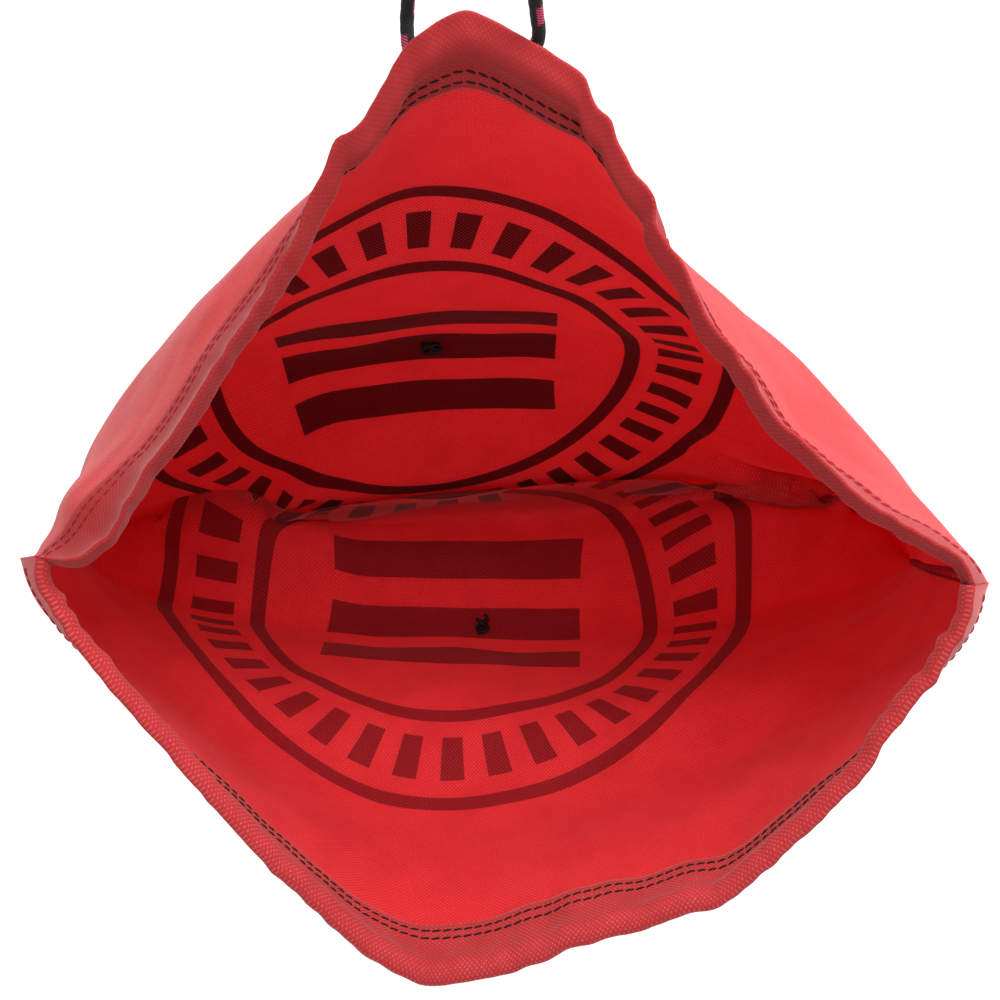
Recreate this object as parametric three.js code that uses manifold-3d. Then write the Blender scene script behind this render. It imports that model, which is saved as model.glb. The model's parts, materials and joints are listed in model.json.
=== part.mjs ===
// Drawstring sack in red non-woven cloth, hanging open from its own knotted cord.
// Millimetres, +Z up. The origin is where a hook lifts the cord, just under the knot.
import * as THREE from 'three';
import { mergeVertices } from 'three/addons/utils/BufferGeometryUtils.js';
import Module from 'manifold-3d';

// Cloth: the two halves of one folded length, flatWidth across and flatDepth deep
const flatWidth = 508;
const flatDepth = 420;
const clothThickness = 0.6;
const seamGap = 1.4; // between the middles of the two halves where they meet
const mitreStart = 0.9; // share of the half's width past which the hem turns into the seam's mitre
const mitreLimit = 0.6; // least cosine to the cloth that the mitre is stretched for

// Bottom fold, in the sack's own frame: its middle, and how much further its ends lie
const sackDepth = 320; // from the mouth to the middle of the fold, along the sack's own axis
const foldHeight = -8; // over the sack's axis
const foldSag = 85; // extra depth of the ends
const foldDroop = 30; // how far the ends hang under the middle
const frontBelly = 45; // how far the front half bellies out under a straight line

// Mouth, in the sack's own frame: x across, y up over the mouth, z out of it
const mouthTop = new THREE.Vector3(-14, 196, 42); // from the middle of the mouth
const mouthBottom = new THREE.Vector3(-27, -170, -48);
const bellyWay = new THREE.Vector3(0, -0.15, -1); // the way the front half bellies out
const mouthLean = 6; // how far the left corner stands over the middle, and the right one under
const mouthDrop = 26; // how far the middle of the mouth lies under the sack's axis
const cornerRadius = 24; // round of the rim at its top and bottom corners
const bellyStart = 0.45; // share of the depth after which a cross section is a plain ellipse

// How the sack hangs: its axis leans back from plumb, and its mouth is out to one side
const axisLean = 30; // degrees
const hangOffset = new THREE.Vector3(9.5, -121, -310); // middle of the mouth, from the hook

// Hem: the cloth turned inwards round the drawstring and sewn down with two rows
const hemDepth = 28;
const rowOuter = 20.5; // distance of each row of stitches from the folded edge
const rowInner = 24.5;
const layerPitch = 1.0; // middle of one layer to the middle of the next
const rowEnd = 0.97; // share of the half's width that a row of stitches covers
const threadRadius = 0.3;
const threadClearance = 0.35;

// Overlock thread down each side, inside the sack, and the tag's thread in the middle of a half
const seamThreadRadius = 0.8;
const seamThreadOutset = 1.7; // past the seam, clear of both halves
const seamThreadBelowHem = 6;
const seamThreadEnd = 0.985; // share of the depth
const tagKnotRadius = 2.6;
const tagKnotHeight = 3.8; // its middle over the cloth
const tagPlaces = { back: [-0.1, 250], front: [-0.02, 248] }; // share across, distance from the fold

// Drawstring
const cordRadius = 2.5;
const cordInHem = { fromFold: 7, inwards: 3.25 };
const cordEnd = 0.93; // share of the half's width up to which a run inside the hem goes
const exitSpread = 18; // each exit from the line under the knot
const exitRadius = 4;
const buttonholeMargin = 1.2; // from the edge of the exit to the middle of its stitching
const buttonholeRadius = 0.5;
const buttonholeLift = 1.25; // over the cloth's middle
const knotWidth = 16;
const knotHeight = 15;

// Fineness of the faceted solids
const columns = 32;
const columnGather = 0.45; // how much closer the columns stand in the middle
const bodyRows = 11;
const cordSides = 8;
const threadSides = 4;
const seamSteps = 20;

const wasm = await Module();
wasm.setup();

const BACK = 1;
const FRONT = -1;
const across = new THREE.Vector3(1, 0, 0);
const lerp = THREE.MathUtils.lerp;
const smooth = THREE.MathUtils.smoothstep;

// ---------------------------------------------------------------- shape of the sack

// Share of the mouth's height reached at s, from 1 at the corner in the middle to 0 at a seam
function rimRise(s) {
  const round = cornerRadius / (flatWidth / 2);
  const far = Math.hypot(1, round) - round;
  return 1 - (Math.hypot(s, round) - round) / far;
}

// s runs along one half from the left seam, -1, to the right seam, 1; t from the mouth, 0, to
// the bottom fold, 1
function sectionPoint(side, s, t, halfWidth) {
  const belly = smooth(t, 0, bellyStart);
  const x = halfWidth * lerp(s, Math.sin((Math.PI / 2) * s), belly);
  const rise = lerp(rimRise(s), Math.cos((Math.PI / 2) * s), belly);
  const apex = side === BACK ? mouthTop : mouthBottom;
  const out = side === FRONT ? frontBelly * Math.sin(Math.PI * t) * rise : 0;
  return new THREE.Vector3(x, -mouthDrop - mouthLean * s, 0)
    .lerp(new THREE.Vector3(x, foldHeight - foldDroop * s * s, -sackDepth - foldSag * s * s), t)
    .addScaledVector(apex, (1 - t) * rise)
    .addScaledVector(bellyWay, out)
    .add(new THREE.Vector3(0, (side * seamGap) / 2, 0));
}

function girth(t, halfWidth) {
  const pieces = 40;
  let total = 0;
  for (const side of [BACK, FRONT]) {
    let last = sectionPoint(side, -1, t, halfWidth);
    for (let i = 1; i <= pieces; i += 1) {
      const next = sectionPoint(side, lerp(-1, 1, i / pieces), t, halfWidth);
      total += next.distanceTo(last);
      last = next;
    }
  }
  return total;
}

// The width that keeps the cloth's length round the sack the same at every depth
const widths = new Map();
function halfWidthAt(t) {
  const key = t.toFixed(5);
  if (!widths.has(key)) {
    let low = flatWidth / 5;
    let high = flatWidth / 2 + 1;
    for (let i = 0; i < 30; i += 1) {
      const middle = (low + high) / 2;
      if (girth(t, middle) > 2 * flatWidth) high = middle;
      else low = middle;
    }
    widths.set(key, low);
  }
  return widths.get(key);
}

function surfacePoint(side, s, t) {
  return sectionPoint(side, s, t, halfWidthAt(t));
}

// Unit normal into the sack. At a seam it turns to the opposite seam, so that the folded
// edges of the two halves meet on one mitre, and grows to keep the fold's full depth there.
function inwards(side, s, t) {
  const step = 0.004;
  const along = surfacePoint(side, Math.min(s + step, 1), t).sub(
    surfacePoint(side, Math.max(s - step, -1), t));
  const down = surfacePoint(side, s, Math.min(t + step, 1)).sub(
    surfacePoint(side, s, Math.max(t - step, 0)));
  const normal = along.cross(down).normalize().multiplyScalar(-side);
  const towardsMiddle = across.clone().multiplyScalar(-Math.sign(s));
  const mitred = normal.clone().lerp(towardsMiddle, smooth(Math.abs(s), mitreStart, 1)).normalize();
  return mitred.divideScalar(Math.max(mitred.dot(normal), mitreLimit));
}

// A point of the cloth: its distance from the folded edge and its height into the sack
function clothPoint(side, s, fromFold, height) {
  const t = fromFold / flatDepth;
  return surfacePoint(side, s, t).addScaledVector(inwards(side, s, t), height);
}

// Columns stand closer where the rim turns its corner
function columnAt(i) {
  const u = lerp(-1, 1, i / columns);
  return lerp(u, Math.sign(u) * u * u, columnGather);
}

// Whatever follows the hem bends at the cloth's columns, and is straight between them
function hemPoint(side, s, fromFold, height) {
  let i = 0;
  while (i < columns - 1 && columnAt(i + 1) < s) i += 1;
  const share = (s - columnAt(i)) / (columnAt(i + 1) - columnAt(i));
  return clothPoint(side, columnAt(i), fromFold, height)
    .lerp(clothPoint(side, columnAt(i + 1), fromFold, height), share);
}

function hemLine(side, from, to, fromFold, height) {
  const stops = [from];
  for (let i = 0; i <= columns; i += 1) {
    if (columnAt(i) > from + 0.01 && columnAt(i) < to - 0.01) stops.push(columnAt(i));
  }
  stops.push(to);
  return stops.map((s) => hemPoint(side, s, fromFold, height));
}

// ---------------------------------------------------------------- solids

function meshOf(name, geometry, material) {
  const clean = geometry.clone();
  clean.deleteAttribute('uv');
  clean.deleteAttribute('normal');
  const mesh = new THREE.Mesh(mergeVertices(clean, 1e-4), material);
  mesh.name = name;
  return mesh;
}

// A closed sheet of the cloth's thickness over a grid of points
function sheetGeometry(grid) {
  const rows = grid.length;
  const width = grid[0].length;
  const position = [];
  for (const face of [0.5, -0.5]) {
    for (let r = 0; r < rows; r += 1) {
      for (let c = 0; c < width; c += 1) {
        const along = grid[r][Math.min(c + 1, width - 1)].clone().sub(grid[r][Math.max(c - 1, 0)]);
        const down = grid[Math.min(r + 1, rows - 1)][c].clone().sub(grid[Math.max(r - 1, 0)][c]);
        const normal = along.cross(down).normalize();
        const point = grid[r][c].clone().addScaledVector(normal, face * clothThickness);
        position.push(point.x, point.y, point.z);
      }
    }
  }
  const under = rows * width;
  const index = [];
  const quad = (a, b, c, d) => index.push(a, b, c, a, c, d);
  for (let r = 0; r < rows - 1; r += 1) {
    for (let c = 0; c < width - 1; c += 1) {
      const a = r * width + c;
      quad(a, a + 1, a + width + 1, a + width);
      quad(under + a, under + a + width, under + a + width + 1, under + a + 1);
    }
    const left = r * width;
    const right = left + width - 1;
    quad(left, left + width, under + left + width, under + left);
    quad(right, under + right, under + right + width, right + width);
  }
  for (let c = 0; c < width - 1; c += 1) {
    const top = c;
    const bottom = (rows - 1) * width + c;
    quad(top, under + top, under + top + 1, top + 1);
    quad(bottom, bottom + 1, under + bottom + 1, under + bottom);
  }
  const geometry = new THREE.BufferGeometry();
  geometry.setAttribute('position', new THREE.Float32BufferAttribute(position, 3));
  geometry.setIndex(index);
  return geometry;
}

function toSolid(geometry) {
  const clean = geometry.clone();
  clean.deleteAttribute('uv');
  clean.deleteAttribute('normal');
  const merged = mergeVertices(clean, 1e-4);
  return new wasm.Manifold(new wasm.Mesh({
    numProp: 3,
    vertProperties: new Float32Array(merged.attributes.position.array),
    triVerts: new Uint32Array(merged.index.array),
  }));
}

function fromSolid(solid) {
  const { vertProperties, triVerts } = solid.getMesh();
  const geometry = new THREE.BufferGeometry();
  geometry.setAttribute('position', new THREE.Float32BufferAttribute(vertProperties, 3));
  geometry.setIndex(Array.from(triVerts));
  return geometry;
}

function vectors(route) {
  return route.map(([x, y, z]) => new THREE.Vector3(x, y, z));
}

// A curve straight from point to point, so that what lies on the cloth keeps to its facets
class PointCurve extends THREE.Curve {
  constructor(points) {
    super();
    this.points = points;
  }

  getPoint(u, target = new THREE.Vector3()) {
    const place = u * (this.points.length - 1);
    const i = Math.min(Math.floor(place), this.points.length - 2);
    return target.copy(this.points[i]).lerp(this.points[i + 1], place - i);
  }

  getPointAt(u, target) {
    return this.getPoint(u, target);
  }

  getTangentAt(u, target = new THREE.Vector3()) {
    const i = Math.round(u * (this.points.length - 1));
    const before = this.points[Math.max(i - 1, 0)];
    const after = this.points[Math.min(i + 1, this.points.length - 1)];
    return target.copy(after).sub(before).normalize();
  }
}

function tubeGeometry(points, radius, sides) {
  const ring = [];
  for (let i = 0; i < sides; i += 1) {
    const angle = (2 * Math.PI * i) / sides;
    ring.push(new THREE.Vector2(radius * Math.cos(angle), radius * Math.sin(angle)));
  }
  return new THREE.ExtrudeGeometry(new THREE.Shape(ring), {
    steps: points.length - 1,
    bevelEnabled: false,
    extrudePath: new PointCurve(points),
  });
}

// ---------------------------------------------------------------- materials

const red = { roughness: 0.75, metalness: 0 };
const backCloth = new THREE.MeshStandardMaterial({ color: 0xd8343c, ...red });
const frontCloth = new THREE.MeshStandardMaterial({ color: 0xc8202c, ...red });
const thread = new THREE.MeshStandardMaterial({ color: 0x17120f, roughness: 0.6, metalness: 0 });
const cord = new THREE.MeshStandardMaterial({ color: 0x141014, roughness: 0.7, metalness: 0 });

// ---------------------------------------------------------------- pieces

// Profile of the hem from its cut edge inside, over the fold, to the start of the outer layer,
// as distance from the fold and height into the sack
const hemProfile = [
  [hemDepth, layerPitch],
  [rowInner, layerPitch],
  [rowOuter, layerPitch],
  [rowOuter - 1.5, layerPitch],
  [13.5, 4.4],
  [7, 6.5],
  [2.5, 5.6],
  [0.4, 3.2],
  [1.2, 0.8],
  [4, 0],
];

function panelGrid(side) {
  const profile = [...hemProfile, [cordInHem.fromFold, 0], [rowOuter, 0], [rowInner, 0], [hemDepth, 0]];
  for (let r = 1; r <= bodyRows; r += 1) {
    profile.push([lerp(hemDepth, flatDepth, r / bodyRows), 0]);
  }
  return profile.map(([fromFold, height]) => Array.from({ length: columns + 1 }, (_, i) =>
    clothPoint(side, columnAt(i), fromFold, height)));
}

function panel(side, name, material) {
  const grid = panelGrid(side);
  if (side === FRONT) grid.forEach((row) => row.reverse());
  return meshOf(name, sheetGeometry(grid), material);
}

// Where the cord comes out through the outer layer of the back hem
function exitColumn(worldX) {
  const x = worldX - hangOffset.x;
  let low = -0.5;
  let high = 0.5;
  for (let i = 0; i < 30; i += 1) {
    const middle = (low + high) / 2;
    if (hemPoint(BACK, middle, cordInHem.fromFold, 0).x < x) low = middle;
    else high = middle;
  }
  return low;
}

const exits = [-exitSpread, exitSpread].map((x) => {
  const s = exitColumn(x);
  return {
    s,
    centre: hemPoint(BACK, s, cordInHem.fromFold, 0),
    outwards: inwards(BACK, s, cordInHem.fromFold / flatDepth).negate(),
  };
});

function backPanel() {
  const whole = panel(BACK, 'back_panel', backCloth);
  let solid = toSolid(whole.geometry);
  for (const exit of exits) {
    const cutter = new THREE.CylinderGeometry(exitRadius, exitRadius, 5, 12);
    cutter.applyQuaternion(new THREE.Quaternion().setFromUnitVectors(
      new THREE.Vector3(0, 1, 0), exit.outwards));
    cutter.translate(...exit.centre.clone().addScaledVector(exit.outwards, 1));
    solid = solid.subtract(toSolid(cutter));
  }
  whole.geometry = fromSolid(solid);
  return whole;
}

// One thread of a row of lockstitch: the needle thread outside or the bobbin thread inside
function hemThread(side, name, fromFold, inside) {
  const lift = clothThickness / 2 + threadClearance + threadRadius;
  const height = inside ? layerPitch + lift : -lift;
  const points = hemLine(side, -rowEnd, rowEnd, fromFold, height);
  return meshOf(name, tubeGeometry(points, threadRadius, threadSides), thread);
}

function hemThreads(side, half) {
  const rows = { outer: rowOuter, inner: rowInner };
  return Object.entries(rows).flatMap(([row, fromFold]) => [
    hemThread(side, `${half}_hem_${row}_row_needle_thread`, fromFold, false),
    hemThread(side, `${half}_hem_${row}_row_bobbin_thread`, fromFold, true),
  ]);
}

// The drawstring inside the hem of one half, between two places along it
function cordRun(side, name, from, to) {
  const points = hemLine(side, from, to, cordInHem.fromFold, cordInHem.inwards);
  return meshOf(name, tubeGeometry(points, cordRadius, cordSides), cord);
}

// The overlock thread that closes a side, lying inside the sack along the seam
function sideSeam(name, edge) {
  const points = [];
  for (let i = 0; i <= seamSteps; i += 1) {
    const t = lerp((hemDepth + seamThreadBelowHem) / flatDepth, seamThreadEnd, i / seamSteps);
    const seam = surfacePoint(BACK, edge, t).lerp(surfacePoint(FRONT, edge, t), 0.5);
    points.push(seam.addScaledVector(across, edge * seamThreadOutset));
  }
  return meshOf(name, tubeGeometry(points, seamThreadRadius, threadSides), thread);
}

function buttonhole(name, exit) {
  const ring = new THREE.TorusGeometry(exitRadius + buttonholeMargin, buttonholeRadius, 6, 16);
  ring.applyQuaternion(new THREE.Quaternion().setFromUnitVectors(
    new THREE.Vector3(0, 0, 1), exit.outwards));
  ring.translate(...exit.centre.clone().addScaledVector(exit.outwards, buttonholeLift));
  return meshOf(name, ring, thread);
}

// A knotted end of tag thread left in the middle of a half
function tagKnot(side, name, [s, fromFold]) {
  const lump = new THREE.IcosahedronGeometry(tagKnotRadius, 0);
  lump.scale(1, 1.3, 0.8);
  const mesh = meshOf(name, lump, thread);
  mesh.position.copy(clothPoint(side, s, fromFold, tagKnotHeight));
  return mesh;
}

// The free legs in the hanging frame: out through the buttonhole, up and straight to the knot
const leftLegRoute = [
  [-17.8, 1.3, -199.6], [-19.8, 4, -198.8], [-21, 5.6, -197.6], [-22, 7, -195.8],
  [-22.6, 7.9, -193.6], [-22.8, 8.5, -191], [-22.2, 8.5, -185.5], [-21.4, 8.3, -178],
  [-20.1, 7.8, -165], [-18.5, 7.1, -150], [-17, 6.5, -135], [-15.4, 5.7, -120],
  [-13.9, 5, -105], [-12.3, 4.3, -90], [-10.8, 3.5, -75], [-9.2, 2.8, -60],
  [-7.7, 2, -45], [-6.1, 1.3, -30], [-4.7, 0.6, -15], [-3.4, 0, -0.3],
];
const rightLegRoute = [
  [17.7, -4.6, -204.7], [20, -2.2, -203.6], [21.3, -0.7, -202.1], [22.3, 0.5, -200.2],
  [22.9, 1.4, -197.9], [23.1, 1.9, -195.4], [22.5, 2, -190], [21.7, 2, -182.5],
  [20.3, 2, -169], [18.7, 1.9, -153.5], [17.2, 1.7, -138], [15.6, 1.5, -122.5],
  [14, 1.3, -107], [12.4, 1.1, -92], [10.9, 0.9, -77], [9.3, 0.7, -61.5],
  [7.7, 0.5, -46], [6.2, 0.3, -30.5], [4.7, 0.2, -15], [3.4, 0, -0.3],
];
// The two cut ends of the cord, which stand out of the knot
const tailRoutes = [
  [[-2.8, 0, 12], [-4, 0.8, 18], [-6, 1.6, 24], [-9, 2.4, 30], [-13, 3, 35], [-18, 3.4, 39]],
  [[2.8, 0, 12], [3.8, -0.8, 18], [5.5, -1.6, 24], [8, -2.4, 31], [11, -3, 37], [15, -3.4, 42]],
];

function leg(name, route) {
  return meshOf(name, tubeGeometry(vectors(route), cordRadius, cordSides), cord);
}

function endKnot() {
  const profile = [
    [0, 0], [0.72, 0], [1, 0.2], [1.08, 0.5], [0.95, 0.8], [0.55, 1], [0, 1],
  ].map(([r, z]) => new THREE.Vector2((r * knotWidth) / 2, z * knotHeight));
  const lump = new THREE.LatheGeometry(profile, 12);
  lump.rotateX(Math.PI / 2);
  let solid = toSolid(lump);
  for (const route of tailRoutes) {
    solid = solid.add(toSolid(tubeGeometry(vectors(route), cordRadius, cordSides)));
  }
  return meshOf('end_knot', fromSolid(solid), cord);
}

// ---------------------------------------------------------------- assembly

const sack = new THREE.Group();
sack.rotation.x = THREE.MathUtils.degToRad(axisLean);
sack.position.copy(hangOffset);
sack.add(
  backPanel(),
  panel(FRONT, 'front_panel', frontCloth),
  ...hemThreads(BACK, 'back'),
  ...hemThreads(FRONT, 'front'),
  cordRun(BACK, 'drawstring_back_left_run', -cordEnd, exits[0].s),
  cordRun(BACK, 'drawstring_back_right_run', exits[1].s, cordEnd),
  cordRun(FRONT, 'drawstring_front_run', -cordEnd, cordEnd),
  sideSeam('left_side_seam_thread', -1),
  sideSeam('right_side_seam_thread', 1),
  buttonhole('left_exit_buttonhole', exits[0]),
  buttonhole('right_exit_buttonhole', exits[1]),
  tagKnot(BACK, 'back_tag_knot', tagPlaces.back),
  tagKnot(FRONT, 'front_tag_knot', tagPlaces.front),
);

const model = new THREE.Group();
model.name = 'drawstring_sack';
model.add(
  sack,
  leg('drawstring_left_leg', leftLegRoute),
  leg('drawstring_right_leg', rightLegRoute),
  endKnot(),
);

export default model;
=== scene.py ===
"""A drawstring sack of red non-woven cloth, hanging open from the knot of its cord.

Lengths are in metres. The sack is shaped in its own frame, with x across the mouth, y up over it
and z out of it, and to_row() turns that frame into the row's. On the cloth, s runs along each
half of the mouth from the left seam, -1, to the right seam, 1, and v is the distance from the
folded edge of the hem.
"""

import json
import math

import bpy
import numpy as np
from mathutils import Matrix, Vector, kdtree, noise


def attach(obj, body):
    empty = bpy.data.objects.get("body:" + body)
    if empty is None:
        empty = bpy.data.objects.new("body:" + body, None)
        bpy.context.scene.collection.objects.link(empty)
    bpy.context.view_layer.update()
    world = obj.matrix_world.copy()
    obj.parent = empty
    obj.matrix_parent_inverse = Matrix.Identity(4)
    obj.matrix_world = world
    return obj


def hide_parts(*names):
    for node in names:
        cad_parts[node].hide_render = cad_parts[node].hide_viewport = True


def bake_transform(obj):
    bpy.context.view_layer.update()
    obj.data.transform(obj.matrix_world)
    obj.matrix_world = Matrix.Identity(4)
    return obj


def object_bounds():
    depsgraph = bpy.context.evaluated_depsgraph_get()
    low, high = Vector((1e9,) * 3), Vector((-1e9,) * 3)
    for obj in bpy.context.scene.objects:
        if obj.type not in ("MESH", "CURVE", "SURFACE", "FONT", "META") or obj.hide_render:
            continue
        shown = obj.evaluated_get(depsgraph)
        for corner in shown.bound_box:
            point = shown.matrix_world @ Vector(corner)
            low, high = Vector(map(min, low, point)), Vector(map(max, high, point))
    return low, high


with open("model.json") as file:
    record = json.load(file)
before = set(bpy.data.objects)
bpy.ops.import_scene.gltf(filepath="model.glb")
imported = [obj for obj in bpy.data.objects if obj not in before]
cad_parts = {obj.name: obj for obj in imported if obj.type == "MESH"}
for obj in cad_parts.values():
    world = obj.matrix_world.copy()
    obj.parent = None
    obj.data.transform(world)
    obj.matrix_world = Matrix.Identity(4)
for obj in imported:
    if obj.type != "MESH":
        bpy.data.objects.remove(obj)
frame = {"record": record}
cad_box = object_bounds()

MM = 0.001
BACK, FRONT = 1, -1

# Cloth
FLAT_WIDTH = 508 * MM
FLAT_DEPTH = 420 * MM
CLOTH_THICKNESS = 0.6 * MM
HEM_DEPTH = 28 * MM
STITCH_ROWS = {"outer": 20.5 * MM, "inner": 24.5 * MM}
LAYER_PITCH = 1.0 * MM
COLUMN_STEP = 2.0 * MM
ROW_STEP = 3.6 * MM

# Bottom fold in the sack's frame, as in the CAD
FOLD_HEIGHT = -8 * MM
FOLD_DEPTH = 320 * MM
FOLD_SAG = 85 * MM
FOLD_DROOP = 30 * MM

# Mouth in the sack's frame
AXIS_LEAN = math.radians(30)
MOUTH_TOP = np.array([-14, 196, 42]) * MM
MOUTH_BOTTOM = np.array([-27, -170, -48]) * MM
MOUTH_DROP = 26 * MM
MOUTH_LEAN = 6 * MM
CORNER_RADIUS = 24 * MM
BELLY_START = 0.45

# Drawstring
CORD_RADIUS = 2.5 * MM
CORD_FROM_FOLD = {BACK: 10 * MM, FRONT: 5.8 * MM}
CORD_INWARDS = 2.95 * MM
CORD_END = 0.9
CORD_SIDES = 16
EXIT_ACROSS = (-21 * MM, 18.5 * MM)
EXIT_RADIUS = 3.4 * MM

# ------------------------------------------------------------------ frames and camera


def joint(name):
    return next(j for j in frame["record"]["behaviour"]["joints"] if j["name"] == name)


SACK_TURN = np.array(Matrix.Rotation(AXIS_LEAN, 3, "X"))
FOLD_MIDDLE = np.array([0, FOLD_HEIGHT, -FOLD_DEPTH])
SACK_PLACE = np.array(joint("mouth_close")["pos_m"]) - SACK_TURN @ FOLD_MIDDLE


def to_row(points):
    return np.asarray(points, float) @ SACK_TURN.T + SACK_PLACE


CAMERA_DISTANCE = 0.6  # from the middle of the mouth, straight along the sack's axis
LENS_MM = 57.9

camera = bpy.data.objects.new("camera", bpy.data.cameras.new("camera"))
camera.data.lens = LENS_MM
camera.location = to_row([0, 0, CAMERA_DISTANCE])
camera.rotation_euler = (AXIS_LEAN, 0, 0)
bpy.context.collection.objects.link(camera)
bpy.context.scene.camera = camera

# ------------------------------------------------------------------ small helpers


def smooth(x, low, high):
    t = np.clip((np.asarray(x, float) - low) / (high - low), 0, 1)
    return t * t * (3 - 2 * t)


def unit(v):
    return v / np.maximum(np.linalg.norm(v, axis=-1, keepdims=True), 1e-12)


def along_curve(points, step):
    """A smooth curve through the points, as places about a step apart."""
    points = np.asarray(points, float)
    ends = np.vstack([2 * points[0] - points[1], points, 2 * points[-1] - points[-2]])
    fine = []
    for a, b, c, d in zip(ends, ends[1:], ends[2:], ends[3:]):
        for t in np.linspace(0, 1, 24, endpoint=False):
            fine.append(0.5 * (2 * b + (c - a) * t + (2 * a - 5 * b + 4 * c - d) * t**2
                               + (3 * b - a - 3 * c + d) * t**3))
    fine = np.array(fine + [points[-1]])
    far = np.concatenate([[0], np.cumsum(np.linalg.norm(np.diff(fine, axis=0), axis=1))])
    stops = np.linspace(0, far[-1], max(2, round(far[-1] / step)) + 1)
    return np.column_stack([np.interp(stops, far, fine[:, k]) for k in range(3)])


def path_length(points):
    return float(np.linalg.norm(np.diff(points, axis=0), axis=1).sum())


def mesh_object(name, verts, faces, material, uvs=None):
    """uvs holds one place for each corner of each face, in the order of the faces."""
    mesh = bpy.data.meshes.new(name)
    mesh.from_pydata([tuple(p) for p in verts], [], [tuple(f) for f in faces])
    if uvs is not None:
        layer = mesh.uv_layers.new(name="flat")
        layer.data.foreach_set("uv", np.asarray(uvs, np.float32).ravel())
    mesh.materials.append(material)
    mesh.polygons.foreach_set("use_smooth", [True] * len(mesh.polygons))
    mesh.update()
    obj = bpy.data.objects.new(name, mesh)
    bpy.context.collection.objects.link(obj)
    return obj


def tube_frames(points):
    tangents = unit(np.gradient(points, axis=0))
    side = unit(np.cross(tangents[0], [0.31, 0.17, 0.93]))
    sides = []
    for tangent in tangents:
        side = unit(side - tangent * (side @ tangent))
        sides.append(side)
    sides = np.array(sides)
    return sides, np.cross(tangents, sides)


def tube(points, radius, count, first=0):
    """Vertices, faces and flat places (round, along) of a capped tube; radius is a number for
    each ring, or an array of one row for each ring."""
    rings = len(points)
    a, b = tube_frames(points)
    angle = np.linspace(0, 2 * math.pi, count, endpoint=False)
    radius = np.broadcast_to(np.reshape(radius, (-1, 1)) if np.ndim(radius) < 2 else radius,
                             (rings, count))
    verts = (points[:, None] + radius[..., None]
             * (np.cos(angle)[None, :, None] * a[:, None] + np.sin(angle)[None, :, None] * b[:, None]))
    far = np.concatenate([[0], np.cumsum(np.linalg.norm(np.diff(points, axis=0), axis=1))])
    faces, uvs = [], []
    for i in range(rings - 1):
        for k in range(count):
            n = (k + 1) % count
            faces.append([first + i * count + k, first + i * count + n,
                          first + (i + 1) * count + n, first + (i + 1) * count + k])
            uvs += [(k / count, far[i]), ((k + 1) / count, far[i]),
                    ((k + 1) / count, far[i + 1]), (k / count, far[i + 1])]
    for ring, order in ((0, reversed(range(count))), (rings - 1, range(count))):
        faces.append([first + ring * count + k for k in order])
        uvs += [(0, far[ring])] * count
    return verts.reshape(-1, 3), faces, uvs


def tubes_object(name, paths, radius, count, material):
    """One object of a capped tube along each path; radius is a number, or a function that gives
    the radius of each ring, or of each place round it, along a path."""
    verts, faces, uvs = [], [], []
    total = 0
    for path in paths:
        r = radius(path) if callable(radius) else np.full(len(path), radius)
        v, f, u = tube(path, r, count, total)
        verts.append(v)
        faces += f
        uvs += u
        total += len(v)
    return mesh_object(name, np.vstack(verts), faces, material, uvs)


# ------------------------------------------------------------------ materials


class Nodes:
    """Short names for the nodes of one material."""

    def __init__(self, name):
        self.material = bpy.data.materials.new(name)
        self.material.use_nodes = True
        self.tree = self.material.node_tree
        self.shader = self.tree.nodes["Principled BSDF"]
        self.output = self.tree.nodes["Material Output"]

    def add(self, kind, inputs=(), out=0, **settings):
        made = self.tree.nodes.new(kind)
        for key, value in settings.items():
            setattr(made, key, value)
        for key, value in dict(inputs).items():
            self.put(made.inputs[key], value)
        return made.outputs[out]

    def put(self, socket, value):
        if isinstance(value, bpy.types.NodeSocket):
            self.tree.links.new(value, socket)
        else:
            socket.default_value = value

    def math(self, operation, *values):
        return self.add("ShaderNodeMath", enumerate(values), operation=operation)

    def ramp(self, value, low, high):
        """0 under low, 1 over high, smooth between."""
        return self.add("ShaderNodeMapRange", {0: value, 1: low, 2: high, 3: 0.0, 4: 1.0},
                        interpolation_type="SMOOTHSTEP")

    def mix(self, share, a, b):
        return self.add("ShaderNodeMix", {0: share, 6: a, 7: b}, out=2, data_type="RGBA")

    def noise(self, place, scale, detail=2.0, roughness=0.5):
        return self.add("ShaderNodeTexNoise", {"Vector": place, "Scale": scale, "Detail": detail,
                                               "Roughness": roughness})

    def place(self, x, y):
        return self.add("ShaderNodeCombineXYZ", {0: x, 1: y})

    def flat(self):
        split = self.add("ShaderNodeSeparateXYZ", {0: self.add("ShaderNodeUVMap", uv_map="flat")})
        return split, split.node.outputs[1]

    def bump(self, height, distance, strength=1.0, under=None):
        inputs = {"Height": height, "Distance": distance, "Strength": strength}
        if under is not None:
            inputs["Normal"] = under
        return self.add("ShaderNodeBump", inputs)

    def shade(self, **inputs):
        for key, value in inputs.items():
            self.put(self.shader.inputs[key.replace("_", " ")], value)


DOT_PITCH = 1.35 * MM
PRINT_MIDDLE = {"back": -36 * MM, "front": -24 * MM, "down": 251 * MM}
PRINT_FRONT_WIDTH = 1.17  # the print on the front half is this much wider than it is tall
PRINT_RINGS = ((143 * MM, 3.8 * MM), (97 * MM, 3.6 * MM))  # radius and half the width of each
PRINT_BARS = (109 * MM, 130 * MM, 40)  # inner and outer radius, and how many stand round
PRINT_BLOCK = (62 * MM, 46 * MM, 3)  # half the width, half the height, stripes


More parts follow.
